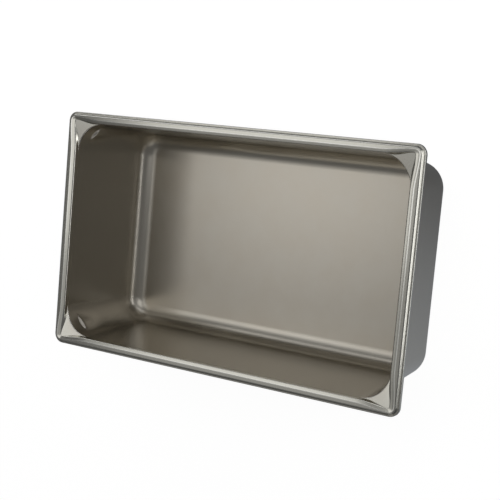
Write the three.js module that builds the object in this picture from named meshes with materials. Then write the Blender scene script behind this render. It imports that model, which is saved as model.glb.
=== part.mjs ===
// Full-size steam table pan: one deep-drawn stainless steel sheet.
// The sheet is modelled as its forming zones: floor, floor coves, walls, corner lands and rim.
// Neighbouring zones share the vertices of their common edge, so they meet face to face.
// Frame: millimetres, +Z up, X along the long side, origin under the middle of the floor.
import * as THREE from "three";

// Overall sizes
const LENGTH = 527; // over the rim, along X
const WIDTH = 324; // over the rim, along Y
const HEIGHT = 152; // underside of the floor to the crown of the rim
const SHEET = 0.8; // thickness of the steel

// Rim section on the straight sides, from the outer edge inwards
const HEM_HEIGHT = 4.6; // turned-down lip below the flange
const FLANGE_WIDTH = 2.3; // flattened outer edge
const FLANGE_DROP = 3.1; // flange below the crown
const BEAD_RISE_RUN = 1.9; // horizontal run of the bead's outer side
const CROWN_WIDTH = 2.0; // between the two shoulders of the bead
const BEAD_FALL_RUN = 2.0; // horizontal run of the bead's inner side
const SHELF_DROP = 0.5; // shelf behind the bead, below the crown
const SHELF_WIDTH = 5.8; // along the long sides
const SHELF_END_EXTRA = 1.6; // the shelf is this much wider along the short sides
const SHELF_FALL = 0.5; // the shelf leans a little into the pan
const STEP_RUN = 0.4; // step from the shelf down to the level of the lands' ends
const STEP_DROP = 5.8;
const LAND_WIDTH = 0.2; // the lands run out to this narrow band along the sides
const LAND_FALL = 1.0;

// Corner lands, each a nearly plane three-cornered face
const LAND_FLARE = 3.8; // the shelf narrows by this much towards each corner
const STEP_CORNER_DROP = 0.3; // what is left of the step at the tip of the land
const STEP_SPREAD = 2.1; // the step's foot bows into the land by this much halfway along a leg
const LAND_CORNER_FALL = 4.2; // from the tip to the mouth of the well, on the diagonal

// Bend radii of the upper surface
const EDGE_BEND = 1.3;
const FLANGE_BEND = 1.2;
const CROWN_OUTER_BEND = 2.2;
const CROWN_INNER_BEND = 3.0;
const SHELF_BEND = 3.0;
const SHELF_EDGE_BEND = 3.4;
const STEP_BEND = 0.8;
const WALL_TOP_BEND = 1.8;
const COVE_RADIUS = 25; // between the walls and the floor

// Plan radii and draft
const RIM_CORNER_RADIUS = 13; // outer edge of the rim
const TIGHTEST_CORNER_RADIUS = 2.4; // inner lines of the rim
const WELL_CORNER_RADIUS = 41; // mouth of the well
const FLOOR_CORNER_RADIUS = 33; // where the walls would meet the floor
const WALL_DRAFT_DEG = 4.27; // of the long walls

// Stacking lug pressed into each corner wall
const LUG_DEPTH = 3.0; // how far it stands into the pan
const LUG_DROP = 22.5; // its upper edge below the crown
const LUG_LEDGE = 3.6; // height of the ledge that faces up
const LUG_TAIL = 26; // height over which it fades into the wall
const LUG_SHARE = 0.6; // share of the corner's turn that it takes

// Facets
const BEND_SHARE = 0.48; // a bend takes at most this share of the shorter flat beside it
const BEND_STEPS = 3;
const COVE_STEPS = 8;
const RIM_ARC_SHARE = 0.4; // share of a corner's columns that turn the tight rim corners
const COLUMNS = [-1, -0.85, -0.7, -0.55, -0.4, -0.2, 0, 0.2, 0.4, 0.55, 0.7, 0.85, 1];
const LUG_LEDGE_STEPS = 3;
const LUG_TAIL_STEPS = 4;

const STEEL = { color: 0x9a9488, roughness: 0.34, metalness: 1.0 };

// Corners in the order of a walk round the rim, anticlockwise from above
const CORNERS = [
  { name: "rear_right", sx: 1, sy: 1, start: 0 },
  { name: "rear_left", sx: -1, sy: 1, start: Math.PI / 2 },
  { name: "front_left", sx: -1, sy: -1, start: Math.PI },
  { name: "front_right", sx: 1, sy: -1, start: (3 * Math.PI) / 2 },
];
// The side that follows each corner on that walk
const SIDES = ["rear", "left", "front", "right"];

// Fold lines of the section. Each is an outline round the pan: its inset from the rim's outer edge
// and its level on the sides and at the corners, its corner radius, and the bend that rounds it.
function foldLines() {
  const lines = [];
  let inset = 0;
  let endExtra = 0;
  let level = HEIGHT - FLANGE_DROP;
  const rimLine = (bend, flare = 0, lift = 0, spread = 0) => {
    const cornerInset = inset - flare;
    const cornerRadius = Math.max(RIM_CORNER_RADIUS - cornerInset, TIGHTEST_CORNER_RADIUS);
    const corner = { cornerInset, cornerLevel: level + lift, cornerRadius, arcShare: RIM_ARC_SHARE };
    lines.push({ inset, endExtra, level, bend, spread, ...corner });
  };
  const wellLine = (bend, cornerRadius, cornerLevel = level) => {
    lines.push({ inset, endExtra, level, bend, cornerInset: inset, cornerLevel, cornerRadius, arcShare: 1 });
  };
  level -= HEM_HEIGHT;
  rimLine(0);
  level += HEM_HEIGHT;
  rimLine(EDGE_BEND);
  inset += FLANGE_WIDTH;
  rimLine(FLANGE_BEND);
  inset += BEAD_RISE_RUN;
  level = HEIGHT;
  rimLine(CROWN_OUTER_BEND);
  inset += CROWN_WIDTH;
  rimLine(CROWN_INNER_BEND);
  inset += BEAD_FALL_RUN;
  level -= SHELF_DROP;
  rimLine(SHELF_BEND);
  inset += SHELF_WIDTH;
  endExtra = SHELF_END_EXTRA;
  level -= SHELF_FALL;
  rimLine(SHELF_EDGE_BEND, LAND_FLARE);
  inset += STEP_RUN;
  level -= STEP_DROP;
  rimLine(STEP_BEND, LAND_FLARE, STEP_DROP - STEP_CORNER_DROP, STEP_SPREAD);
  inset += LAND_WIDTH;
  level -= LAND_FALL;
  wellLine(WALL_TOP_BEND, WELL_CORNER_RADIUS, lines.at(-1).cornerLevel - LAND_CORNER_FALL);
  inset += (level - SHEET) * Math.tan(THREE.MathUtils.degToRad(WALL_DRAFT_DEG));
  endExtra = 0;
  level = SHEET;
  wellLine(COVE_RADIUS, FLOOR_CORNER_RADIUS);
  return lines;
}

const FOLDS = foldLines();
const WALL_TOP = FOLDS.length - 2; // fold line at the mouth of the well
const STEP_FOOT = FOLDS.length - 3; // fold line at the outer edge of the land
const LEG_INSET = FOLDS[WALL_TOP].inset + WELL_CORNER_RADIUS; // where the straight sides begin

// How far a round corner has turned at column c, both from -1 to 1 with 0 on the diagonal. It turns
// slowly near the diagonal, so that its columns keep level with those of the tight corners' legs.
function roundTurn(c) {
  return c * Math.abs(c);
}

// Point of a fold line at one column of a corner. A tight corner turns in the middle columns at one
// level, and straight legs lead from it to the sides. A round corner lies in a plane that falls
// along the diagonal.
function foldPoint(fold, corner, c) {
  const tight = fold.arcShare < 1;
  const turn = tight ? THREE.MathUtils.clamp(c / fold.arcShare, -1, 1) : roundTurn(c);
  const angle = corner.start + ((1 + turn) * Math.PI) / 4;
  const round = (Math.cos((turn * Math.PI) / 4) - Math.SQRT1_2) / (1 - Math.SQRT1_2);
  const lift = (fold.cornerLevel - fold.level) * (tight ? 1 : round);
  const centre = fold.cornerInset + fold.cornerRadius;
  const point = new THREE.Vector3(
    corner.sx * (LENGTH / 2 - centre - fold.endExtra) + fold.cornerRadius * Math.cos(angle),
    corner.sy * (WIDTH / 2 - centre) + fold.cornerRadius * Math.sin(angle),
    fold.level + lift,
  );
  if (Math.abs(c) <= fold.arcShare) return point;
  const onLongSide = c > 0 === (corner.sx === corner.sy);
  const legEnd = new THREE.Vector3(
    corner.sx * (LENGTH / 2 - (onLongSide ? LEG_INSET + SHELF_END_EXTRA : fold.inset + fold.endExtra)),
    corner.sy * (WIDTH / 2 - (onLongSide ? fold.inset : LEG_INSET)),
    fold.level,
  );
  const along = (Math.abs(c) - fold.arcShare) / (1 - fold.arcShare);
  const bow = fold.spread * (4 * along * (1 - along)) ** 2;
  point.lerp(legEnd, along);
  if (onLongSide) point.y -= corner.sy * bow;
  else point.x -= corner.sx * bow;
  return point;
}

// Round bend at a corner of the section: an arc that leaves along `into` and turns towards `out`.
// Each station holds its point and the direction of the section there.
function bendStations(before, at, after, radius, steps) {
  const into = at.clone().sub(before);
  const out = after.clone().sub(at);
  const reach = Math.min(into.length(), out.length());
  into.normalize();
  out.normalize();
  const turn = into.angleTo(out);
  const tangent = Math.min(radius * Math.tan(turn / 2), reach * BEND_SHARE);
  const bend = tangent / Math.tan(turn / 2);
  const side = out.clone().addScaledVector(into, -into.dot(out)).normalize();
  const start = at.clone().addScaledVector(into, -tangent);
  return Array.from({ length: steps + 1 }, (_, k) => {
    const a = (turn * k) / steps;
    return {
      point: start
        .clone()
        .addScaledVector(into, bend * Math.sin(a))
        .addScaledVector(side, bend * (1 - Math.cos(a))),
      along: into.clone().multiplyScalar(Math.cos(a)).addScaledVector(side, Math.sin(a)),
    };
  });
}

// Heights of the extra rows that carry the lug: close on its ledge, wider on its tail
const LUG_TOP = HEIGHT - LUG_DROP;
const LUG_FOOT = LUG_TOP - LUG_LEDGE;
function rowsDown(from, fall, steps) {
  return Array.from({ length: steps }, (_, k) => from - (fall * (k + 1)) / steps);
}
const LUG_ROWS = [
  LUG_TOP,
  ...rowsDown(LUG_TOP, LUG_LEDGE, LUG_LEDGE_STEPS),
  ...rowsDown(LUG_FOOT, LUG_TAIL, LUG_TAIL_STEPS),
];

// How far the lug stands in from the wall: a quick rise over the ledge, a slow fade below it
function lugInset(turn, level) {
  const across = Math.abs(turn) < LUG_SHARE ? Math.cos((Math.PI * turn) / (2 * LUG_SHARE)) ** 2 : 0;
  const below = LUG_TOP - level;
  const rise = THREE.MathUtils.smoothstep(below, 0, LUG_LEDGE);
  const fade = 1 - THREE.MathUtils.smoothstep(below, LUG_LEDGE, LUG_LEDGE + LUG_TAIL);
  return LUG_DEPTH * across * rise * fade;
}

// One column of the sheet: its stations from the foot of the hem to the edge of the flat floor
function columnStations(corner, c) {
  const points = FOLDS.map((fold) => foldPoint(fold, corner, c));
  const floor = points.at(-1);
  const centre = new THREE.Vector3(
    corner.sx * (LENGTH / 2 - FOLDS.at(-1).inset - FLOOR_CORNER_RADIUS),
    corner.sy * (WIDTH / 2 - FOLDS.at(-1).inset - FLOOR_CORNER_RADIUS),
    floor.z,
  );
  const beyond = centre.multiplyScalar(2).sub(floor);
  const hem = points[1].clone().sub(points[0]).normalize();
  const stations = [{ point: points[0], along: hem }];
  for (let k = 1; k <= WALL_TOP; k++) {
    stations.push(...bendStations(points[k - 1], points[k], points[k + 1], FOLDS[k].bend, BEND_STEPS));
  }
  const wall = floor.clone().sub(points[WALL_TOP]).normalize();
  for (const level of LUG_ROWS) {
    const point = points[WALL_TOP].clone().addScaledVector(wall, (level - points[WALL_TOP].z) / wall.z);
    stations.push({ point, along: wall, lug: lugInset(roundTurn(c), level) });
  }
  stations.push(...bendStations(points[WALL_TOP], floor, beyond, COVE_RADIUS, COVE_STEPS));
  return stations;
}

// Rows where one zone of the sheet ends and the next begins
const ROW_LAND = 1 + (STEP_FOOT - 1) * (BEND_STEPS + 1) + BEND_STEPS;
const ROW_WALL = ROW_LAND + BEND_STEPS + 1;
const ROW_COVE = ROW_WALL + LUG_ROWS.length + 1;
const ROW_FLOOR = ROW_COVE + COVE_STEPS;

// The whole sheet as a grid of columns and rows, with its upper and lower faces
const columns = CORNERS.flatMap((corner) => COLUMNS.map((c) => columnStations(corner, c)));
const UP = new THREE.Vector3(0, 0, 1);
const grid = columns.map((stations, i) => {
  const next = columns[(i + 1) % columns.length];
  const last = columns.at(i - 1);
  return stations.map(({ point, along, lug = 0 }, j) => {
    const round = next[j].point.clone().sub(last[j].point);
    const normal = j === ROW_FLOOR ? UP.clone() : along.clone().cross(round).normalize().negate();
    const upper = point.clone().addScaledVector(normal, lug);
    return { upper, lower: upper.clone().addScaledVector(normal, -SHEET) };
  });
});

// Closed solid of one zone: columns from..to, rows top..bottom, with walls on its four edges
function zoneGeometry(from, to, top, bottom) {
  const count = bottom - top + 1;
  const width = to - from + 1;
  const half = width * count;
  const positions = [];
  for (const face of ["upper", "lower"]) {
    for (let i = from; i <= to; i++) {
      for (let j = top; j <= bottom; j++) positions.push(...grid[i % grid.length][j][face].toArray());
    }
  }
  const at = (i, j) => i * count + j;
  const index = [];
  const quad = (a, b, c, d) => index.push(a, b, c, a, c, d);
  for (let i = 0; i < width - 1; i++) {
    for (let j = 0; j < count - 1; j++) {
      quad(at(i, j), at(i + 1, j), at(i + 1, j + 1), at(i, j + 1));
      quad(half + at(i, j + 1), half + at(i + 1, j + 1), half + at(i + 1, j), half + at(i, j));
    }
  }
  // Edge walls, each cut along the same diagonal as the neighbour's
  const wall = (a, b, flip) => {
    const faces = [a, b, half + b, a, half + b, half + a];
    index.push(...(flip ? faces.reverse() : faces));
  };
  for (let j = 0; j < count - 1; j++) {
    wall(at(0, j), at(0, j + 1), false);
    wall(at(width - 1, j), at(width - 1, j + 1), true);
  }
  for (let i = 0; i < width - 1; i++) {
    wall(at(i, 0), at(i + 1, 0), true);
    wall(at(i, count - 1), at(i + 1, count - 1), false);
  }
  const geometry = new THREE.BufferGeometry();
  geometry.setAttribute("position", new THREE.Float32BufferAttribute(positions, 3));
  geometry.setIndex(index);
  geometry.computeVertexNormals();
  return geometry;
}

// Flat floor inside the coves
function floorGeometry() {
  const edge = grid.map((column) => column[ROW_FLOOR].upper);
  const outline = edge.map((point) => new THREE.Vector2(point.x, point.y));
  return new THREE.ExtrudeGeometry(new THREE.Shape(outline), { depth: SHEET, bevelEnabled: false });
}

function addZone(parent, name, geometry) {
  const mesh = new THREE.Mesh(geometry, new THREE.MeshStandardMaterial(STEEL));
  mesh.name = name;
  parent.add(mesh);
}

const pan = new THREE.Group();
const rim = new THREE.Group();
const well = new THREE.Group();
pan.add(rim, well);

addZone(well, "floor_panel", floorGeometry());
CORNERS.forEach((corner, q) => {
  const first = q * COLUMNS.length;
  const last = first + COLUMNS.length - 1;
  addZone(rim, `rim_corner_${corner.name}`, zoneGeometry(first, last, 0, ROW_LAND));
  addZone(rim, `corner_land_${corner.name}`, zoneGeometry(first, last, ROW_LAND, ROW_WALL));
  addZone(well, `wall_corner_${corner.name}`, zoneGeometry(first, last, ROW_WALL, ROW_COVE));
  addZone(well, `floor_cove_corner_${corner.name}`, zoneGeometry(first, last, ROW_COVE, ROW_FLOOR));
  const side = SIDES[q];
  addZone(rim, `rim_${side}`, zoneGeometry(last, last + 1, 0, ROW_WALL));
  addZone(well, `wall_${side}`, zoneGeometry(last, last + 1, ROW_WALL, ROW_COVE));
  addZone(well, `floor_cove_${side}`, zoneGeometry(last, last + 1, ROW_COVE, ROW_FLOOR));
});

export default pan;
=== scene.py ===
"""A full-size steam table pan in satin stainless steel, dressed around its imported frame."""

import logging
import math
from dataclasses import dataclass, field, replace
from enum import Enum

import bpy
import numpy as np
from mathutils import Matrix, Vector


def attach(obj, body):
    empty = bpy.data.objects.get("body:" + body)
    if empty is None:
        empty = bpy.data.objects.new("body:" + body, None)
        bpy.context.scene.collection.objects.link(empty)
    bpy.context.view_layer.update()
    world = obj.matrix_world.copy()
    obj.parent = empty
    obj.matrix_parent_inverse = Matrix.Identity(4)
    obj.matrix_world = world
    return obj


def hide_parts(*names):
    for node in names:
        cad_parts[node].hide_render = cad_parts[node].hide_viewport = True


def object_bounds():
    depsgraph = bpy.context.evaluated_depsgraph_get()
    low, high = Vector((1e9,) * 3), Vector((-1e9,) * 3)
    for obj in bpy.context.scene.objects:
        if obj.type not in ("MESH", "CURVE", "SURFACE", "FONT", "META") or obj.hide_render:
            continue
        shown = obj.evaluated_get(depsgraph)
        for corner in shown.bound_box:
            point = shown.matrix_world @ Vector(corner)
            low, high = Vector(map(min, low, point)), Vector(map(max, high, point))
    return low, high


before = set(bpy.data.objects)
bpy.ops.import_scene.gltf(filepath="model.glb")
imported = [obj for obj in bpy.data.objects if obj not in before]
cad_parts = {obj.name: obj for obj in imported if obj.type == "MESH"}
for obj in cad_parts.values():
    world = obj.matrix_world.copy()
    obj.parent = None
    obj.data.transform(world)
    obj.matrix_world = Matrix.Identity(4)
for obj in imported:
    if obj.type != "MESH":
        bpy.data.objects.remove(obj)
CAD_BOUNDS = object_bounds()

LOG = logging.getLogger("steam_table_pan")
MM = 0.001  # section sizes are in millimetres, Blender's in metres
COS_45 = math.sqrt(0.5)
BODY = "root"
SHEET_UV = "sheet"
MIX_SHARE, MIX_A, MIX_B, MIX_RESULT = 0, 6, 7, 2  # numbers of a Mix node's sockets when it mixes colours

Point = tuple[float, float, float]
Socket = bpy.types.NodeSocket
Tree = bpy.types.NodeTree
MID_PAN: Point = (0.0, 0.0, 0.1)  # where the slanted lamps point, in metres


class Labelled(Enum):
    """A choice whose name is also part of the names of nodes."""

    @property
    def label(self) -> str:
        """Name in the frame's nodes."""
        return self.name.lower()


class Corner(Labelled):
    """Corners in the order of a walk round the rim, anticlockwise from above: signs of X and Y."""

    REAR_RIGHT = (1, 1)
    REAR_LEFT = (-1, 1)
    FRONT_LEFT = (-1, -1)
    FRONT_RIGHT = (1, -1)

    @property
    def number(self) -> int:
        """Number of the corner on that walk."""
        return list(Corner).index(self)


class Side(Labelled):
    """Sides of the pan, each after the corner of the same number on that walk."""

    REAR = 0
    LEFT = 1
    FRONT = 2
    RIGHT = 3


class Row(Enum):
    """Rows of the sheet where one zone ends and the next begins."""

    HEM = "hem"
    LAND = "land"
    WALL = "wall"
    COVE = "cove"
    FLOOR = "floor"


class Mark(Enum):
    """What forming and use leave in the sheet, under the names of the attributes that the finish reads."""

    # rubbed folds also take a painted highlight
    WEAR = "wear"
    # the drawn walls also take painted shade
    DRAWN = "drawn"
    BURNISHED = "burnished"


def unit(vectors: np.ndarray) -> np.ndarray:
    """Vectors of the last axis at length one."""
    return vectors / np.linalg.norm(vectors, axis=-1, keepdims=True)


def smoothstep(x: np.ndarray) -> np.ndarray:
    """Cubic ease 3x^2 - 2x^3 of x held to 0..1."""
    x = np.clip(x, 0.0, 1.0)
    return x * x * (3.0 - 2.0 * x)


def linear_rgba(code: str) -> tuple[float, ...]:
    """Turns an sRGB hex colour into linear light, by the standard's curve.

    Args:
        code: six hex digits.

    Returns:
        Red, green and blue, linear, and an alpha of one.
    """
    srgb = np.array([int(code[i : i + 2], 16) for i in (0, 2, 4)]) / 255.0
    low = srgb / 12.92
    high = ((srgb + 0.055) / 1.055) ** 2.4
    return (*np.where(srgb <= 0.04045, low, high).tolist(), 1.0)


def add_node(tree: Tree, kind: str, inputs: dict | None = None, **settings: object) -> bpy.types.Node:
    """Adds a node, sets its properties and fills its sockets.

    Args:
        tree: node tree of the material or the world.
        kind: Blender's name of the node type.
        inputs: socket name or number to a value, or to the output that is linked to it.
        settings: properties of the node itself.

    Returns:
        The node.
    """
    node = tree.nodes.new(kind)
    for name, value in settings.items():
        setattr(node, name, value)
    for key, value in (inputs or {}).items():
        if isinstance(value, Socket):
            tree.links.new(value, node.inputs[key])
        else:
            node.inputs[key].default_value = value
    return node


def add_math(tree: Tree, operation: str, *values: Socket | float) -> Socket:
    """Adds a Math node, fills its sockets in order and gives its output."""
    return add_node(tree, "ShaderNodeMath", dict(enumerate(values)), operation=operation).outputs[0]


@dataclass(frozen=True)
class Fold:
    """One fold line of the section: an outline round the pan at one level, in millimetres."""

    inset: float  # from the rim's outer edge, on the straight sides
    level: float
    bend: float  # radius that rounds the fold
    corner_inset: float
    corner_level: float
    corner_radius: float
    arc_share: float  # share of a corner's columns in which it turns
    wear: float = 0.0  # how much hands and other pans rub this fold, which also sets its painted highlight
    spread: float = 0.0  # how far it bows inwards halfway along a corner's leg
    end_extra: float = 0.0  # added to the inset along the short sides


@dataclass
class Stack:
    """Rows of the sheet as they are laid down, from the hem inwards."""

    points: list[np.ndarray] = field(default_factory=list)
    along: list[np.ndarray] = field(default_factory=list)
    wear: list[np.ndarray] = field(default_factory=list)

    @property
    def count(self) -> int:
        """Number of rows so far."""
        return sum(len(rows) for rows in self.points)

    def add(self, points: np.ndarray, along: np.ndarray, wear: np.ndarray | float = 0.0) -> None:
        """Lays down more rows.

        Args:
            points: by row and column, in millimetres.
            along: directions down the section, for each row or the same for all.
            wear: how much each row is rubbed, or one value for all.
        """
        self.points.append(points)
        self.along.append(np.broadcast_to(along, points.shape))
        self.wear.append(np.broadcast_to(wear, len(points)))


@dataclass
class Shell:
    """A closed shell of sheet that stands for one node of the frame.

    Its skins take the sheet's own normals, so neighbouring zones shade as one surface. Its edges are flat.
    """

    points: np.ndarray  # vertices in millimetres
    normals: np.ndarray
    skins: list[np.ndarray]  # face tables of the upper and lower faces
    edge: np.ndarray  # face table of the edges
    uv: np.ndarray  # pattern place of each vertex
    marks: dict[Mark, np.ndarray]

    def build(self, node: str) -> bpy.types.Object:
        """Puts the shell into a mesh.

        Args:
            node: the frame's node that the piece stands for.

        Returns:
            The piece, riding on the pan's body.
        """
        tables = [*self.skins, self.edge]
        loops = np.concatenate([table.ravel() for table in tables])
        sizes = np.concatenate([np.full(len(table), table.shape[1]) for table in tables])
        mesh = bpy.data.meshes.new(f"steel_{node}")
        mesh.vertices.add(len(self.points))
        mesh.vertices.foreach_set("co", (self.points * MM).astype(np.float32).ravel())
        mesh.loops.add(len(loops))
        mesh.loops.foreach_set("vertex_index", loops.astype(np.int32))
        mesh.polygons.add(len(sizes))
        mesh.polygons.foreach_set("loop_start", (np.cumsum(sizes) - sizes).astype(np.int32))
        mesh.polygons.foreach_set("use_smooth", np.ones(len(sizes), dtype=bool))
        layer = mesh.uv_layers.new(name=SHEET_UV)
        layer.uv.foreach_set("vector", self.uv[loops].astype(np.float32).ravel())
        for mark, values in self.marks.items():
            attribute = mesh.attributes.new(mark.value, "FLOAT", "POINT")
            attribute.data.foreach_set("value", values.astype(np.float32))
        mesh.update(calc_edges=True)
        mesh.normals_split_custom_set(self._loop_normals(loops))
        piece = bpy.data.objects.new(f"steel_{node}", mesh)
        bpy.context.scene.collection.objects.link(piece)
        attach(piece, BODY)
        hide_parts(node)
        return piece

    def _loop_normals(self, loops: np.ndarray) -> np.ndarray:
        """Normals of the face corners: the sheet's own on the skins, each face's own along the edges.

        Args:
            loops: vertex of each face corner, with the edges' last.

        Returns:
            A normal for each face corner.
        """
        corners = self.points[self.edge]
        flat = unit(np.cross(corners[:, 2] - corners[:, 0], corners[:, 3] - corners[:, 1]))
        skin = loops[: len(loops) - self.edge.size]
        return np.concatenate([self.normals[skin], np.repeat(flat, self.edge.shape[1], axis=0)])


class SubAssembly:
    """Zones of the sheet that are built and dressed together."""

    def build(self, sheet: "DrawnSheet") -> list[bpy.types.Object]:
        """Makes the zones' pieces."""
        raise NotImplementedError

    def dress(self, pieces: list[bpy.types.Object], steel: bpy.types.Material) -> None:
        """Gives each piece the sheet's finish."""
        for piece in pieces:
            piece.data.materials.append(steel)


@dataclass
class Rim(SubAssembly):
    """Turned-down hem, flange, raised bead, shelf and step, from the outer edge inwards, in millimetres."""

    hem_height: float = 4.6
    flange_width: float = 2.3
    flange_drop: float = 3.1
    bead_rise_run: float = 1.9
    crown_width: float = 5.4
    crown_flare: float = 3.4  # the crown narrows by this much towards each corner
    bead_fall_run: float = 2.2
    shelf_drop: float = 0.48
    shelf_width: float = 2.2
    shelf_flare: float = 3.6  # the shelf begins this much further out at each corner
    shelf_end_extra: float = 1.6  # the shelf is this much wider along the short sides
    shelf_fall: float = 0.52
    step_run: float = 0.4
    step_drop: float = 5.8
    step_flare: float = 3.8  # the shelf ends this much further out at each corner
    step_corner_drop: float = 0.3  # what is left of the step at the tip of each land
    step_spread: float = 2.1  # the step's foot bows into the land by this much halfway along a leg
    edge_bend: float = 1.3
    flange_bend: float = 1.2
    crown_outer_bend: float = 2.2
    crown_inner_bend: float = 20.0
    shelf_bend: float = 20.0
    brink_bend: float = 3.4  # where the shelf ends and the step begins
    step_bend: float = 0.8
    corner_radius: float = 13.0
    tightest_radius: float = 2.4
    arc_share: float = 0.4
    # rubbing of these folds, which also sets their painted highlight
    edge_wear: float = 0.7
    crown_wear: float = 1.0
    brink_wear: float = 0.6

    def folds(self, height: float) -> list[Fold]:
        """Fold lines of the rim.

        Args:
            height: level of the bead's crown.

        Returns:
            The folds from the hem's foot to the foot of the step.
        """
        flange = height - self.flange_drop
        bead = self.flange_width + self.bead_rise_run
        inner = bead + self.crown_width
        shelf = inner + self.bead_fall_run
        edge = shelf + self.shelf_width
        edge_level = height - (self.shelf_drop + self.shelf_fall)
        foot_level = edge_level - self.step_drop
        lift = self.step_drop - self.step_corner_drop
        brink = self._fold(edge, edge_level, self.brink_bend, self.step_flare, wear=self.brink_wear)
        foot = self._fold(edge + self.step_run, foot_level, self.step_bend, self.step_flare, lift)
        return [
            self._fold(0.0, flange - self.hem_height, 0.0),
            self._fold(0.0, flange, self.edge_bend, wear=self.edge_wear),
            self._fold(self.flange_width, flange, self.flange_bend),
            self._fold(bead, height, self.crown_outer_bend, wear=self.crown_wear),
            self._fold(inner, height, self.crown_inner_bend, self.crown_flare, wear=self.crown_wear),
            self._fold(shelf, height - self.shelf_drop, self.shelf_bend, self.shelf_flare),
            replace(brink, end_extra=self.shelf_end_extra),
            replace(foot, end_extra=self.shelf_end_extra, spread=self.step_spread),
        ]

    def _fold(
        self,
        inset: float,
        level: float,
        bend: float,
        flare: float = 0.0,
        lift: float = 0.0,
        wear: float = 0.0,
    ) -> Fold:
        """A fold that moves out by flare and up by lift towards the corners, where it turns tightly."""
        radius = max(self.corner_radius - (inset - flare), self.tightest_radius)
        return Fold(inset, level, bend, inset - flare, level + lift, radius, self.arc_share, wear)

    def build(self, sheet: "DrawnSheet") -> list[bpy.types.Object]:
        """Makes the straight rims, which reach to the mouth of the well, and the rim corners."""
        sides = sheet.side_pieces("rim", Row.HEM, Row.WALL)
        return sides + sheet.corner_pieces("rim_corner", Row.HEM, Row.LAND)


@dataclass
class CornerLands(SubAssembly):
    """Sunken lands between the step and the mouth of the well, in millimetres."""

    width: float = 0.2  # the lands run out to this narrow band along the sides
    fall: float = 1.0
    corner_fall: float = 4.2  # from the tip to the mouth of the well, on the diagonal
    mouth_bend: float = 1.8
    # rubbing of the mouth's fold, which also sets its painted highlight
    mouth_wear: float = 0.8

    def build(self, sheet: "DrawnSheet") -> list[bpy.types.Object]:
        """Makes the four three-cornered lands."""
        return sheet.corner_pieces("corner_land", Row.LAND, Row.WALL)


@dataclass
class Lug:
    """Stacking lug pressed into each corner wall, in millimetres."""

    depth: float = 3.0
    drop: float = 22.5  # its upper edge below the crown
    ledge: float = 3.6
    tail: float = 45.0
    share: float = 0.6  # share of the corner's turn that it takes
    ledge_steps: int = 12
    tail_steps: int = 16

    def levels(self, height: float) -> np.ndarray:
        """Levels of the rows that carry it, close on the ledge and wider on the tail.

        Args:
            height: level of the bead's crown.

        Returns:
            The levels from the top down.
        """
        top = height - self.drop
        foot = top - self.ledge
        ledge = np.linspace(top, foot, self.ledge_steps + 1)
        tail = np.linspace(foot, foot - self.tail, self.tail_steps + 1)
        return np.concatenate([ledge, tail[1:]])

    def inset(self, turn: np.ndarray, below: np.ndarray) -> np.ndarray:
        """How far it stands in from the wall.

        Formula: depth * cos^2(pi turn / 2 share), times a quick rise over the ledge and a slow fade below.

        Args:
            turn: place across the corner, from -1 to 1.
            below: depth under the lug's upper edge.

        Returns:
            The inset in millimetres.
        """
        bulge = np.cos(np.pi * turn / (2.0 * self.share)) ** 2
        across = np.where(np.abs(turn) < self.share, bulge, 0.0)
        rise = smoothstep(below / self.ledge)
        fade = 1.0 - smoothstep((below - self.ledge) / self.tail)
        return self.depth * across * rise * fade


@dataclass
class Well(SubAssembly):
    """Drafted walls with their lugs, and the coves between walls and floor, in millimetres."""

    corner_radius: float = 41.0
    floor_corner_radius: float = 33.0
    draft_deg: float = 4.27
    cove_radius: float = 25.0
    lug: Lug = field(default_factory=Lug)

    def build(self, sheet: "DrawnSheet") -> list[bpy.types.Object]:
        """Makes the walls, then the coves, each with their corners.

        Args:
            sheet: the sheet that they are zones of.

        Returns:
            The sixteen pieces.
        """
        pieces = []
        for zone, top, bottom in (("wall", Row.WALL, Row.COVE), ("floor_cove", Row.COVE, Row.FLOOR)):
            pieces += sheet.side_pieces(zone, top, bottom)
            pieces += sheet.corner_pieces(f"{zone}_corner", top, bottom)
        return pieces


@dataclass
class FloorPanel(SubAssembly):
    """Flat floor inside the coves."""

    ring_shares: tuple[float, ...] = (1.0, 0.96, 0.88, 0.75, 0.6, 0.45, 0.3, 0.15)

    def build(self, sheet: "DrawnSheet") -> list[bpy.types.Object]:
        """Makes the floor: rings that shrink from the coves' edge to a point in the middle."""
        return [sheet.floor_piece("floor_panel", self.ring_shares)]


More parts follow.
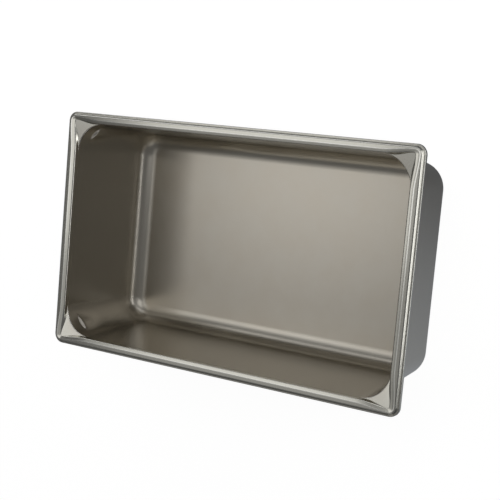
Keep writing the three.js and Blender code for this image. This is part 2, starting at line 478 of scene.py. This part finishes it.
@dataclass
class DrawnSheet:
    """The whole sheet as one grid: rows down the section, columns round the pan, in millimetres.

    A column is the section at one place round the rim. Each of its folds is rounded by an arc, and the
    lower face lies one thickness under the upper one, along the normal.
    """

    length: float
    width: float
    height: float
    rim: Rim
    lands: CornerLands
    well: Well
    thickness: float = 0.8
    bend_steps: int = 8
    cove_steps: int = 28
    land_steps: int = 4
    corner_columns: int = 61
    side_columns: int = 9
    flat_share: float = 0.48  # share of the shorter flat beside a fold that its bend may take
    wall_burnish: float = 0.4  # how far the die burnishes the walls, where the rolled rim has 1
    matt_share: float = 0.3  # share of the coves over which the burnish runs out to the satin floor
    folds: list[Fold] = field(init=False)
    rows: dict[Row, int] = field(init=False, default_factory=dict)
    marks: dict[Mark, np.ndarray] = field(init=False)
    upper: np.ndarray = field(init=False)
    lower: np.ndarray = field(init=False)
    normal: np.ndarray = field(init=False)
    uv: np.ndarray = field(init=False)

    def __post_init__(self) -> None:
        """Works out the folds and the grid."""
        self.folds = self._folds()
        self._build_grid()

    @property
    def mouth(self) -> Fold:
        """Fold where the walls begin."""
        return self.folds[-2]

    def _folds(self) -> list[Fold]:
        """Works out all fold lines.

        Returns:
            The folds from the hem's foot to where the walls would meet the floor.
        """
        folds = self.rim.folds(self.height)
        step = folds[-1]
        mouth_inset = step.inset + self.lands.width
        mouth_level = step.level - self.lands.fall
        run = (mouth_level - self.thickness) * math.tan(math.radians(self.well.draft_deg))
        floor_inset = mouth_inset + run
        mouth = Fold(
            inset=mouth_inset,
            level=mouth_level,
            bend=self.lands.mouth_bend,
            corner_inset=mouth_inset,
            corner_level=step.corner_level - self.lands.corner_fall,
            corner_radius=self.well.corner_radius,
            arc_share=1.0,
            wear=self.lands.mouth_wear,
            end_extra=step.end_extra,
        )
        floor = Fold(
            inset=floor_inset,
            level=self.thickness,
            bend=self.well.cove_radius,
            corner_inset=floor_inset,
            corner_level=self.thickness,
            corner_radius=self.well.floor_corner_radius,
            arc_share=1.0,
        )
        return [*folds, mouth, floor]

    def _arc(self, fold: Fold, corner: Corner, turn: np.ndarray) -> tuple[np.ndarray, np.ndarray]:
        """Places on a corner's arc.

        Args:
            fold: the fold line.
            corner: which corner.
            turn: from -1 to 1, with 0 on the diagonal.

        Returns:
            X and Y of each place.
        """
        sign_x, sign_y = corner.value
        centre = fold.corner_inset + fold.corner_radius
        angle = math.radians(90.0 * corner.number) + (1.0 + turn) * math.pi / 4.0
        x = sign_x * (self.length / 2.0 - centre - fold.end_extra) + fold.corner_radius * np.cos(angle)
        y = sign_y * (self.width / 2.0 - centre) + fold.corner_radius * np.sin(angle)
        return x, y

    def _round_corner(self, fold: Fold, corner: Corner, across: np.ndarray) -> np.ndarray:
        """Points of a fold line round a corner of the well, which is one arc.

        Formula: it lies in a plane that falls along the diagonal, so its level follows
        (cos a - cos 45) / (1 - cos 45), with a the angle from the diagonal. It turns as across * |across|,
        so that its columns keep level with those of the tight corners' legs.

        Args:
            fold: the fold line.
            corner: which corner.
            across: places across it, from -1 to 1.

        Returns:
            A point for each column.
        """
        turn = across * np.abs(across)
        x, y = self._arc(fold, corner, turn)
        tilt = (np.cos(turn * math.pi / 4.0) - COS_45) / (1.0 - COS_45)
        return np.stack([x, y, fold.level + (fold.corner_level - fold.level) * tilt], axis=-1)

    def _tight_corner(self, fold: Fold, corner: Corner, across: np.ndarray) -> np.ndarray:
        """Points of a fold line round a corner of the rim, which is a tight arc with legs to the sides.

        Formula: at share t of a leg the inset has eased by 3t^2 - 2t^3 from the corner's to the side's, and
        bows by spread * (4t(1 - t))^2. A bowed fold edges a land, so it lies in the land's plane.

        Args:
            fold: the fold line.
            corner: which corner.
            across: places across it, from -1 to 1.

        Returns:
            A point for each column.
        """
        sign_x, sign_y = corner.value
        arc_x, arc_y = self._arc(fold, corner, np.clip(across / fold.arc_share, -1.0, 1.0))
        leg = np.clip((np.abs(across) - fold.arc_share) / (1.0 - fold.arc_share), 0.0, 1.0)
        inset = fold.corner_inset + (fold.inset - fold.corner_inset) * smoothstep(leg)
        inset = inset + fold.spread * (4.0 * leg * (1.0 - leg)) ** 2
        start_y = fold.corner_inset + fold.corner_radius
        start_x = start_y + fold.end_extra
        end_y = self.mouth.inset + self.well.corner_radius
        end_x = end_y + self.rim.shelf_end_extra
        along_x = start_x + (end_x - start_x) * leg
        along_y = start_y + (end_y - start_y) * leg
        on_long_side = (across > 0.0) == (sign_x == sign_y)
        leg_x = sign_x * (self.length / 2.0 - np.where(on_long_side, along_x, inset + fold.end_extra))
        leg_y = sign_y * (self.width / 2.0 - np.where(on_long_side, inset, along_y))
        x = np.where(leg > 0.0, leg_x, arc_x)
        y = np.where(leg > 0.0, leg_y, arc_y)
        z = np.full_like(x, fold.level)
        if fold.spread > 0.0:
            z = np.maximum(self._land_plane(x, y), z)
        return np.stack([x, y, z], axis=-1)

    def _land_plane(self, x: np.ndarray, y: np.ndarray) -> np.ndarray:
        """Level of a corner land: the plane through the mouth's arc, falling along the diagonal.

        Args:
            x: places along the pan.
            y: places across it.

        Returns:
            The plane's level at each place.
        """
        mouth = self.mouth
        centre = mouth.inset + mouth.corner_radius
        from_x = self.length / 2.0 - mouth.end_extra - np.abs(x)
        from_y = self.width / 2.0 - np.abs(y)
        beyond = (from_x + from_y - 2.0 * centre) * COS_45 + mouth.corner_radius
        slope = (mouth.corner_level - mouth.level) / (mouth.corner_radius * (1.0 - COS_45))
        return mouth.corner_level - slope * beyond

    def _fold_lines(self, across: np.ndarray) -> np.ndarray:
        """Points of every fold at every column: corners joined by straight sides.

        Args:
            across: places across a corner, from -1 to 1.

        Returns:
            Points by fold and column.
        """
        share = np.linspace(0.0, 1.0, self.side_columns + 2)[1:-1, None]
        lines = []
        for fold in self.folds:
            line = self._tight_corner if fold.arc_share < 1.0 else self._round_corner
            corners = [line(fold, corner, across) for corner in Corner]
            parts = []
            for here, following in zip(corners, corners[1:] + corners[:1]):
                parts += [here, here[-1] + (following[0] - here[-1]) * share]
            lines.append(np.concatenate(parts))
        return np.stack(lines)

    def _bend(
        self, before: np.ndarray, at: np.ndarray, after: np.ndarray, radius: float, steps: int
    ) -> tuple[np.ndarray, np.ndarray]:
        """Rounds a fold with an arc, at all columns at once.

        Formula: start + into * r sin(a) + side * r (1 - cos(a)), with a from 0 to the fold's turn.

        Args:
            before: points of the fold before.
            at: points of the fold itself.
            after: points of the fold after.
            radius: wanted radius, held to what the flats on each side leave.
            steps: steps of the arc.

        Returns:
            Points and directions, each by step and column.
        """
        into, out = at - before, after - at
        flat = np.minimum(np.linalg.norm(into, axis=-1), np.linalg.norm(out, axis=-1))
        into, out = unit(into), unit(out)
        dot = np.sum(into * out, axis=-1)
        turn = np.arccos(np.clip(dot, -1.0, 1.0))
        half = np.tan(turn / 2.0)
        tangent = np.minimum(radius * half, self.flat_share * flat)
        bend = (tangent / half)[:, None]
        side = unit(out - into * dot[:, None])
        start = at - into * tangent[:, None]
        angle = (turn * np.linspace(0.0, 1.0, steps + 1)[:, None])[..., None]
        points = start + into * bend * np.sin(angle) + side * bend * (1.0 - np.cos(angle))
        return points, into * np.cos(angle) + side * np.sin(angle)

    def _build_grid(self) -> None:
        """Lays down the rows of the sheet, presses its lugs in and sets its lower face under it."""
        across = np.linspace(-1.0, 1.0, self.corner_columns)
        lines = self._fold_lines(across)
        stack = Stack()
        self._lay_rim(stack, lines)
        self._lay_well(stack, lines)
        self.marks = self._marks(np.concatenate(stack.wear))
        self.upper, along = np.concatenate(stack.points), np.concatenate(stack.along)
        self._press_lugs(along, across)
        self.normal = self._normals(along)
        self.lower = self.upper - self.thickness * self.normal
        self.uv = self._pattern_place()

    def _lay_rim(self, stack: Stack, lines: np.ndarray) -> None:
        """Lays down the hem's foot and the rounded folds, with the lands before the last one.

        Args:
            stack: rows so far.
            lines: points of the fold lines.
        """
        arch = np.sin(np.linspace(0.0, np.pi, self.bend_steps + 1))
        self.rows[Row.HEM] = stack.count
        stack.add(lines[:1], unit(lines[1:2] - lines[:1]))
        for index, fold in enumerate(self.folds[1:-1], start=1):
            points, along = self._bend(*lines[index - 1 : index + 2], fold.bend, self.bend_steps)
            if fold is self.mouth:
                self.rows[Row.LAND] = stack.count - 1
                foot = stack.points[-1][-1]
                share = np.linspace(0.0, 1.0, self.land_steps + 2)[1:-1, None, None]
                stack.add(foot + (points[0] - foot) * share, stack.along[-1][-1])
            stack.add(points, along, arch * fold.wear)
        self.rows[Row.WALL] = stack.count - 1

    def _lay_well(self, stack: Stack, lines: np.ndarray) -> None:
        """Lays down the walls, with a row at each level of the lugs, and the coves.

        Args:
            stack: rows so far.
            lines: points of the fold lines.
        """
        mouth, foot = lines[-2:]
        wall = unit(foot - mouth)
        fall = (self.well.lug.levels(self.height)[:, None] - mouth[:, 2]) / wall[:, 2]
        stack.add(mouth + wall * fall[..., None], wall)
        self.rows[Row.COVE] = stack.count
        stack.add(*self._bend(mouth, foot, self._beyond(foot), self.well.cove_radius, self.cove_steps))
        self.rows[Row.FLOOR] = stack.count - 1

    def _beyond(self, foot: np.ndarray) -> np.ndarray:
        """Points across each corner's centre from the walls' foot, which the coves turn towards.

        Args:
            foot: points where the walls would meet the floor.

        Returns:
            A point for each column.
        """
        inset = self.folds[-1].inset + self.folds[-1].corner_radius
        limit = np.array([self.length / 2.0 - inset, self.width / 2.0 - inset])
        centre = np.clip(foot[:, :2], -limit, limit)
        return np.concatenate([2.0 * centre - foot[:, :2], foot[:, 2:]], axis=1)

    def _press_lugs(self, along: np.ndarray, across: np.ndarray) -> None:
        """Moves the upper face in by the lugs and turns its directions to match.

        Args:
            along: directions down the section, which it changes.
            across: places across a corner, from -1 to 1.
        """
        lug = self.well.lug
        levels = lug.levels(self.height)
        rows = slice(self.rows[Row.WALL] + 1, self.rows[Row.COVE])
        turn = np.concatenate([across * np.abs(across), np.ones(self.side_columns)])
        inset = lug.inset(np.tile(turn, len(Corner)), (self.height - lug.drop) - levels[:, None])
        self.upper[rows] += self._normals(along)[rows] * inset[..., None]
        along[rows] = -unit(np.gradient(self.upper[rows], levels, axis=0))

    def _marks(self, wear: np.ndarray) -> dict[Mark, np.ndarray]:
        """What forming and use leave in each row.

        Args:
            wear: how much each row is rubbed.

        Returns:
            The rubbing, which also sets the painted highlight on folds; the stretch, all on the walls and
            fading down the coves, which also sets their painted shade; and the burnish, most on the rolled
            rim, less on the walls and none on the floor.
        """
        row = np.arange(self.rows[Row.FLOOR] + 1)
        land, wall, cove, floor = (self.rows[key] for key in (Row.LAND, Row.WALL, Row.COVE, Row.FLOOR))
        rise = smoothstep((row - land) / (wall - land))
        to_floor = (floor - row) / (floor - cove)
        burnished = 1.0 - (1.0 - self.wall_burnish) * rise
        return {
            Mark.WEAR: wear,
            Mark.DRAWN: rise * smoothstep(to_floor),
            Mark.BURNISHED: burnished * smoothstep(to_floor / self.matt_share),
        }

    def _normals(self, along: np.ndarray) -> np.ndarray:
        """Normals of the upper face: round the pan cross down the section.

        Args:
            along: directions down the section.

        Returns:
            A normal for each point of the grid.
        """
        around = np.roll(self.upper, -1, axis=1) - np.roll(self.upper, 1, axis=1)
        normal = unit(np.cross(around, along))
        normal[self.rows[Row.FLOOR]] = (0.0, 0.0, 1.0)
        return normal

    def _pattern_place(self) -> np.ndarray:
        """Place of each point for patterns.

        Returns:
            Metres round the wall and metres down the section.
        """
        line = self.upper[self.rows[Row.WALL]]
        step = np.linalg.norm(np.roll(line, -1, axis=0) - line, axis=-1)
        around = np.concatenate([[0.0], np.cumsum(step)])[:-1]
        fall = np.linalg.norm(np.diff(self.upper, axis=0), axis=-1)
        down = np.concatenate([np.zeros((1, len(line))), np.cumsum(fall, axis=0)])
        return np.stack([np.broadcast_to(around, down.shape), down], axis=-1) * MM

    def _columns(self, number: int, first: int, count: int) -> np.ndarray:
        """Columns from a place on one of the four corners, counted on round the pan."""
        start = number * (self.corner_columns + self.side_columns) + first
        return np.arange(start, start + count) % self.upper.shape[1]

    def corner_pieces(self, zone: str, top: Row, bottom: Row) -> list[bpy.types.Object]:
        """The parts of the four corners between two rows, as closed pieces."""
        columns = {corner.label: self._columns(corner.number, 0, self.corner_columns) for corner in Corner}
        return [self._zone(f"{zone}_{label}", own, top, bottom) for label, own in columns.items()]

    def side_pieces(self, zone: str, top: Row, bottom: Row) -> list[bpy.types.Object]:
        """The parts of the four sides between two rows, each from the last column of its corner.

        Args:
            zone: what the names of their nodes begin with.
            top: first row.
            bottom: last row.

        Returns:
            The closed pieces.
        """
        first, count = self.corner_columns - 1, self.side_columns + 2
        columns = {side.label: self._columns(side.value, first, count) for side in Side}
        return [self._zone(f"{zone}_{label}", own, top, bottom) for label, own in columns.items()]

    def _zone(self, node: str, columns: np.ndarray, top: Row, bottom: Row) -> bpy.types.Object:
        """Closed shell of one zone: upper and lower faces, and a wall along each of its four edges.

        Args:
            node: the frame's node that the piece stands for.
            columns: the grid's columns in the zone.
            top: first row.
            bottom: last row.

        Returns:
            The piece.
        """
        rows = np.arange(self.rows[top], self.rows[bottom] + 1)
        window = np.ix_(rows, columns)
        number = np.arange(len(rows) * len(columns)).reshape(len(rows), len(columns))
        below = number.size
        corners = [number[:-1, :-1], number[:-1, 1:], number[1:, 1:], number[1:, :-1]]
        quads = np.stack(corners, axis=-1).reshape(-1, 4)
        rim = np.concatenate([number[0, :-1], number[:-1, -1], number[-1, :0:-1], number[:0:-1, 0]])
        ahead = np.roll(rim, -1)
        normal = self.normal[window].reshape(-1, 3)
        marks = {mark: np.repeat(values[rows], len(columns)) for mark, values in self.marks.items()}
        shell = Shell(
            points=np.concatenate([face[window].reshape(-1, 3) for face in (self.upper, self.lower)]),
            normals=np.concatenate([normal, -normal]),
            skins=[quads, quads[:, ::-1] + below],
            edge=np.stack([rim, rim + below, ahead + below, ahead], axis=-1),
            uv=np.tile(self.uv[window].reshape(-1, 2), (2, 1)),
            marks={mark: np.tile(values, 2) for mark, values in marks.items()},
        )
        return shell.build(node)

    def floor_piece(self, node: str, shares: tuple[float, ...]) -> bpy.types.Object:
        """The flat floor: rings of the coves' edge round a point in the middle, above and below.

        Args:
            node: the frame's node that the piece stands for.
            shares: how far out from the middle each ring lies, from the edge inwards.

        Returns:
            The piece.
        """
        outline = self.upper[self.rows[Row.FLOOR]]
        rings = outline * np.array(shares)[:, None, None]
        rings[..., 2] = self.thickness
        upper = np.concatenate([rings.reshape(-1, 3), [[0.0, 0.0, self.thickness]]])
        below = len(upper)
        number = np.arange(below - 1).reshape(len(shares), len(outline))
        ahead = np.roll(number, -1, axis=1)
        quads = np.stack([number[:-1], ahead[:-1], ahead[1:], number[1:]], axis=-1).reshape(-1, 4)
        fan = np.stack([number[-1], ahead[-1], np.full(len(outline), below - 1)], axis=-1)
        up = np.broadcast_to((0.0, 0.0, 1.0), upper.shape)
        shell = Shell(
            points=np.concatenate([upper, upper * (1.0, 1.0, 0.0)]),
            normals=np.concatenate([up, -up]),
            skins=[quads, quads[:, ::-1] + below, fan, fan[:, ::-1] + below],
            edge=np.stack([number[0], number[0] + below, ahead[0] + below, ahead[0]], axis=-1),
            uv=np.tile(upper[:, :2] * MM, (2, 1)),
            marks={mark: np.zeros(2 * below) for mark in Mark},
        )
        return shell.build(node)


@dataclass(frozen=True)
class SatinStainless:
    """Austenitic stainless sheet, cold rolled to a satin finish and then deep drawn.

    To the eye it is a warm grey metal, a little cloudy, with soft reflections. The rolled grain runs along
    the pan. The drawn walls are duller, with faint streaks down the draw and a slow waviness; their darker
    colour is partly painted shade inside the well. The rolled rim is cooler and smoother, and folds that
    hands and other pans rub are palest, a paleness that is partly a painted highlight on the rim's folds.
    Sizes in millimetres.
    """

    name: str = "satin_drawn_stainless_steel"
    colour: str = "D2CCC0"
    cloud_colour: str = "CFC8BB"
    burnished_colour: str = "C6C4BB"
    # darker colour of the drawn walls, partly painted shade inside the well
    drawn_and_shade_colour: str = "BFBAB0"
    # palest colour of rubbed folds, partly a painted highlight on the rim's folds
    worn_and_highlight_colour: str = "E2E1DB"
    roughness: float = 0.34
    burnished_roughness: float = 0.19
    roughness_swing: float = 0.012  # between the smoothest and the roughest cloud
    worn_polish: float = 0.02  # taken off the roughness where folds are rubbed
    cloud: float = 46.0
    cloud_range: tuple[float, float] = (0.35, 0.65)  # noise from all cloud to none
    grain: float = 1.6  # the real grain is under 0.1 wide, so it is drawn as coarse as the render can show
    grain_run: float = 60.0
    grain_height: float = 0.002
    streak: float = 3.0  # draw lines are about 0.3 apart, drawn coarse for the same reason
    streak_run: float = 110.0
    wave: float = 95.0
    wave_height: float = 0.06
    scuff: float = 9.0  # length of the patches that rubbing leaves
    scuff_range: tuple[float, float] = (0.3, 0.7)  # noise from the least rubbed patches to the most
    scuff_least: float = 0.6  # share of the wear that the least rubbed patches show

    def build(self) -> bpy.types.Material:
        """Makes the material.

        Returns:
            The material.
        """
        material = bpy.data.materials.new(self.name)
        material.use_nodes = True
        tree = material.node_tree
        shader = tree.nodes["Principled BSDF"]
        shader.inputs["Metallic"].default_value = 1.0
        place = add_node(tree, "ShaderNodeTexCoord").outputs["Object"]
        sheet = add_node(tree, "ShaderNodeUVMap", uv_map=SHEET_UV).outputs["UV"]
        wear, drawn, burnished = (
            add_node(tree, "ShaderNodeAttribute", attribute_name=mark.value).outputs["Fac"]
            for mark in (Mark.WEAR, Mark.DRAWN, Mark.BURNISHED)
        )
        clouds = self._noise(tree, place, (self.cloud,) * 3, detail=3.0)
        waves = self._noise(tree, place, (self.wave,) * 3, detail=0.0)
        scuffs = self._noise(tree, place, (self.scuff,) * 3, detail=2.0)
        grain = self._noise(tree, place, (self.grain_run, self.grain, self.grain), detail=2.0)
        streaks = self._noise(tree, sheet, (self.streak, self.streak_run, self.streak), detail=2.0)
        low, high = self.cloud_range
        cloud_span = {"Value": clouds, "From Min": low, "From Max": high}
        cloudless = add_node(tree, "ShaderNodeMapRange", cloud_span).outputs[0]
        low, high = self.scuff_range
        scuff_span = {"Value": scuffs, "From Min": low, "From Max": high, "To Min": self.scuff_least}
        patches = add_node(tree, "ShaderNodeMapRange", scuff_span).outputs[0]
        # rubbed folds in patches: lower roughness, and the pale colour that paints the rim's highlights
        worn_and_highlit = add_math(tree, "MULTIPLY", wear, patches)
        satin = add_math(tree, "SUBTRACT", 1.0, burnished)
        rolled = add_math(tree, "MULTIPLY", grain, satin)
        lines = add_math(tree, "MULTIPLY_ADD", streaks, drawn, rolled)
        shader_links = {
            "Base Color": self._tone(tree, (cloudless, burnished, drawn, worn_and_highlit)),
            "Roughness": self._polish(tree, cloudless, burnished, worn_and_highlit),
            "Normal": self._relief(tree, lines, waves, drawn),
        }
        for socket, output in shader_links.items():
            tree.links.new(output, shader.inputs[socket])
        return material

    @staticmethod
    def _noise(tree: Tree, place: Socket, patch: tuple[float, ...], detail: float) -> Socket:
        """Noise whose patches have a given size.

        Args:
            tree: the material's nodes.
            place: coordinates in metres.
            patch: size of a patch along each axis, in millimetres.
            detail: octaves of finer noise.

        Returns:
            A value about 0.5.
        """
        scale = tuple(1.0 / (size * MM) for size in patch)
        scaled = add_node(tree, "ShaderNodeMapping", {"Vector": place, "Scale": scale}).outputs[0]
        noise = {"Vector": scaled, "Scale": 1.0, "Detail": detail}
        return add_node(tree, "ShaderNodeTexNoise", noise).outputs["Fac"]

    def _tone(self, tree: Tree, shares: tuple[Socket, ...]) -> Socket:
        """Cloudy warm grey, cooler on the rolled rim, darker on the drawn walls, partly painted shade, and
        palest on rubbed folds, partly a painted highlight.

        Args:
            tree: the material's nodes.
            shares: how cloudless, burnished, drawn and rubbed the sheet is, in that order.

        Returns:
            The colour.
        """
        codes = (self.colour, self.burnished_colour, self.drawn_and_shade_colour, self.worn_and_highlight_colour)
        tone = linear_rgba(self.cloud_colour)
        for share, code in zip(shares, codes):
            mix = {MIX_SHARE: share, MIX_A: tone, MIX_B: linear_rgba(code)}
            tone = add_node(tree, "ShaderNodeMix", mix, data_type="RGBA").outputs[MIX_RESULT]
        return tone

    def _polish(self, tree: Tree, cloudless: Socket, burnished: Socket, worn_and_highlit: Socket) -> Socket:
        """Roughness: lower where the die burnished the sheet, cloudy all over, lowest on rubbed folds.

        Args:
            tree: the material's nodes.
            cloudless: from 0 in the clouds to 1 between them.
            burnished: how far the sheet was burnished.
            worn_and_highlit: how far it was rubbed.

        Returns:
            The roughness.
        """
        changes = (
            (burnished, self.burnished_roughness - self.roughness),
            (cloudless, self.roughness_swing),
            (worn_and_highlit, -self.worn_polish),
        )
        roughness = self.roughness - self.roughness_swing / 2.0
        for share, change in changes:
            roughness = add_math(tree, "MULTIPLY_ADD", share, change, roughness)
        return roughness

    def _relief(self, tree: Tree, lines: Socket, waves: Socket, drawn: Socket) -> Socket:
        """Bump: the fine lines of rolling and drawing over the slow waviness of the drawn walls.

        Args:
            tree: the material's nodes.
            lines: height of the fine lines.
            waves: height of the waviness.
            drawn: how far the sheet was drawn.

        Returns:
            The normal.
        """
        swell = add_math(tree, "MULTIPLY", waves, drawn)
        wall = add_node(tree, "ShaderNodeBump", {"Height": swell, "Distance": self.wave_height * MM})
        fine = {"Height": lines, "Distance": self.grain_height * MM, "Normal": wall.outputs[0]}
        return add_node(tree, "ShaderNodeBump", fine).outputs[0]


@dataclass(frozen=True)
class PaleMattFloor:
    """Matt studio floor.

    To the eye it is plain white with a faint shadow. In reflections it shows a dimmer painted reflection: a
    grey that changes across the pan and paints the shade and surroundings that the pan's outer faces
    mirror.
    """

    name: str = "pale_matt_floor"
    colour: str = "EDEDED"
    white: float = 1.18  # with what the lamps add, it shows as plain white to the camera
    painted_reflection_tones: tuple[tuple[float, str], ...] = (  # painted reflection of shade and surroundings, by place across the pan in metres
        (-0.34, "303336"),
        (-0.18, "A8AEB6"),
        (0.0, "888D94"),
        (0.14, "53565B"),
    )
    even_share: float = 0.8  # share of that white or painted reflection, over the lit floor that holds the shadow

    def build(self) -> bpy.types.Material:
        """Makes the material.

        Returns:
            The material.
        """
        material = bpy.data.materials.new(self.name)
        material.use_nodes = True
        tree = material.node_tree
        tree.nodes.clear()
        path = add_node(tree, "ShaderNodeLightPath").outputs
        white = (self.white, self.white, self.white, 1.0)
        # the camera sees plain white, and reflections see the painted reflection
        mix = {MIX_SHARE: path["Is Camera Ray"], MIX_A: self._painted_reflection(tree), MIX_B: white}
        tone = add_node(tree, "ShaderNodeMix", mix, data_type="RGBA").outputs[MIX_RESULT]
        seen = path["Is Camera Ray"]
        for ray in ("Is Glossy Ray", "Is Transmission Ray"):
            seen = add_math(tree, "MAXIMUM", seen, path[ray])
        share = add_math(tree, "MULTIPLY", seen, self.even_share)
        matt = add_node(tree, "ShaderNodeBsdfDiffuse", {"Color": linear_rgba(self.colour)}).outputs[0]
        even = add_node(tree, "ShaderNodeEmission", {"Color": tone, "Strength": 1.0}).outputs[0]
        floor = add_node(tree, "ShaderNodeMixShader", {0: share, 1: matt, 2: even}).outputs[0]
        add_node(tree, "ShaderNodeOutputMaterial", {"Surface": floor})
        return material

    def _painted_reflection(self, tree: Tree) -> Socket:
        """Painted reflection: the tone that reflections show, which changes across the pan.

        Args:
            tree: the material's nodes.

        Returns:
            The colour.
        """
        near, far = self.painted_reflection_tones[0][0], self.painted_reflection_tones[-1][0]
        place = add_node(tree, "ShaderNodeTexCoord").outputs["Object"]
        across = add_node(tree, "ShaderNodeSeparateXYZ", {0: place}).outputs["Y"]
        share = add_node(tree, "ShaderNodeMapRange", {"Value": across, "From Min": near, "From Max": far})
        ramp = add_node(tree, "ShaderNodeValToRGB", {0: share.outputs[0]})
        stops = ramp.color_ramp.elements
        for at, _ in self.painted_reflection_tones[1:-1]:
            stops.new((at - near) / (far - near))
        for stop, (_, code) in zip(stops, self.painted_reflection_tones):
            stop.color = linear_rgba(code)
        return ramp.outputs["Color"]


@dataclass
class PhotoCamera:
    """Camera at the photograph's viewing angle, in metres and degrees."""

    place: Point = (0.7456, 0.1772, 1.3621)
    aim: Point = (-0.0445, -0.0109, 0.0)
    roll_deg: float = -96.54
    lens: float = 80.72
    sensor: float = 36.0

    def build(self) -> bpy.types.Object:
        """Adds the camera and makes it the scene's own.

        Returns:
            The camera.
        """
        data = bpy.data.cameras.new("photo_camera")
        data.lens = self.lens
        data.sensor_width = self.sensor
        camera = bpy.data.objects.new("photo_camera", data)
        bpy.context.scene.collection.objects.link(camera)
        back = (Vector(self.place) - Vector(self.aim)).normalized()
        level = Vector((0.0, 0.0, 1.0)).cross(back).normalized()
        turn = Matrix((level, back.cross(level), back)).transposed()
        roll = Matrix.Rotation(math.radians(self.roll_deg), 3, "Z")
        camera.matrix_world = Matrix.Translation(self.place) @ (turn @ roll).to_4x4()
        bpy.context.scene.camera = camera
        return camera


@dataclass(frozen=True)
class Softbox:
    """A soft area lamp, in metres."""

    name: str
    place: Point
    size: tuple[float, float]
    radiance: float  # 1 shows as white where a mirror sees it
    aim: Point = MID_PAN

    def build(self) -> bpy.types.Object:
        """Adds the lamp.

        Returns:
            The lamp, which no camera sees by itself.
        """
        data = bpy.data.lights.new(self.name, "AREA")
        data.shape = "RECTANGLE"
        data.size, data.size_y = self.size
        data.energy = self.radiance * math.pi * self.size[0] * self.size[1]
        lamp = bpy.data.objects.new(self.name, data)
        lamp.location = self.place
        lamp.rotation_euler = (Vector(self.place) - Vector(self.aim)).to_track_quat("Z", "Y").to_euler()
        lamp.visible_camera = False
        bpy.context.scene.collection.objects.link(lamp)
        return lamp


@dataclass
class Studio:
    """White floor and soft light, in metres."""

    floor_half: float = 6.0
    floor_level: float = -0.0002  # a hair under the pan, so that no two faces lie in one plane
    floor_finish: PaleMattFloor = PaleMattFloor()
    world_level: float = 0.135
    lamps: tuple[Softbox, ...] = (
        Softbox("key_softbox", (-0.8, 0.15, 1.6), (0.85, 0.7), 0.66, aim=(-0.8, 0.15, 0.0)),
        Softbox("overhead_fill", (-0.8, 0.13, 1.62), (1.0, 1.74), 0.31, aim=(-0.8, 0.13, 0.0)),
        Softbox("rear_softbox", (0.32, 0.55, 1.6), (0.85, 0.9), 0.66, aim=(0.32, 0.55, 0.0)),
        Softbox("right_floor_card", (1.75, 0.45, 0.01), (1.5, 1.7), 1.0, aim=(1.75, 0.45, 1.0)),
        Softbox("right_strip", (1.6, 0.42, 0.4), (1.8, 0.66), 2.15),
        Softbox("high_corner_softbox", (0.8, 1.02, 1.5), (2.0, 1.3), 0.15),
        Softbox("low_front_softbox", (0.11, -1.23, 0.64), (0.5, 0.36), 0.8),
        Softbox("rear_strip", (-0.24, 1.23, 0.84), (2.5, 0.45), 0.63),
        Softbox("low_rear_strip", (-0.87, 1.4, 0.53), (1.7, 0.42), 1.18),
    )

    def build(self) -> None:
        """Adds the world, the lamps and the floor."""
        bpy.context.scene.view_settings.view_transform = "Standard"
        self._build_world()
        for lamp in self.lamps:
            lamp.build()
        self._build_floor()

    def _build_world(self) -> None:
        """Adds even light from all round, which shows as white to the camera."""
        world = bpy.data.worlds.new("studio")
        world.use_nodes = True
        bpy.context.scene.world = world
        tree = world.node_tree
        seen = add_node(tree, "ShaderNodeLightPath").outputs["Is Camera Ray"]
        level = add_node(tree, "ShaderNodeMapRange", {"Value": seen, "To Min": self.world_level}).outputs[0]
        shade = tree.nodes["Background"]
        shade.inputs["Color"].default_value = (1.0, 1.0, 1.0, 1.0)
        tree.links.new(level, shade.inputs["Strength"])

    def _build_floor(self) -> None:
        """Adds the floor, a square round the pan."""
        mesh = bpy.data.meshes.new("floor")
        half = self.floor_half
        corners = [(-half, -half, 0.0), (half, -half, 0.0), (half, half, 0.0), (-half, half, 0.0)]
        mesh.from_pydata(corners, [], [(0, 1, 2, 3)])
        floor = bpy.data.objects.new("floor", mesh)
        floor.location.z = self.floor_level
        bpy.context.scene.collection.objects.link(floor)
        mesh.materials.append(self.floor_finish.build())


def main() -> None:
    """Builds the pan piece by piece, dresses it and sets the studio round it."""
    logging.basicConfig(level=logging.INFO, format="%(name)s: %(message)s")
    low, high = CAD_BOUNDS
    length, width, height = ((np.array(high) - np.array(low)) / MM).tolist()
    rim, lands, well, floor = Rim(), CornerLands(), Well(), FloorPanel()
    sheet = DrawnSheet(length, width, height, rim, lands, well)
    steel = SatinStainless().build()
    for part in (rim, lands, well, floor):
        pieces = part.build(sheet)
        part.dress(pieces, steel)
        for piece in pieces:
            LOG.info("%s: %d faces", piece.name, len(piece.data.polygons))
    Studio().build()
    PhotoCamera().build()


if __name__ == "__main__":
    main()
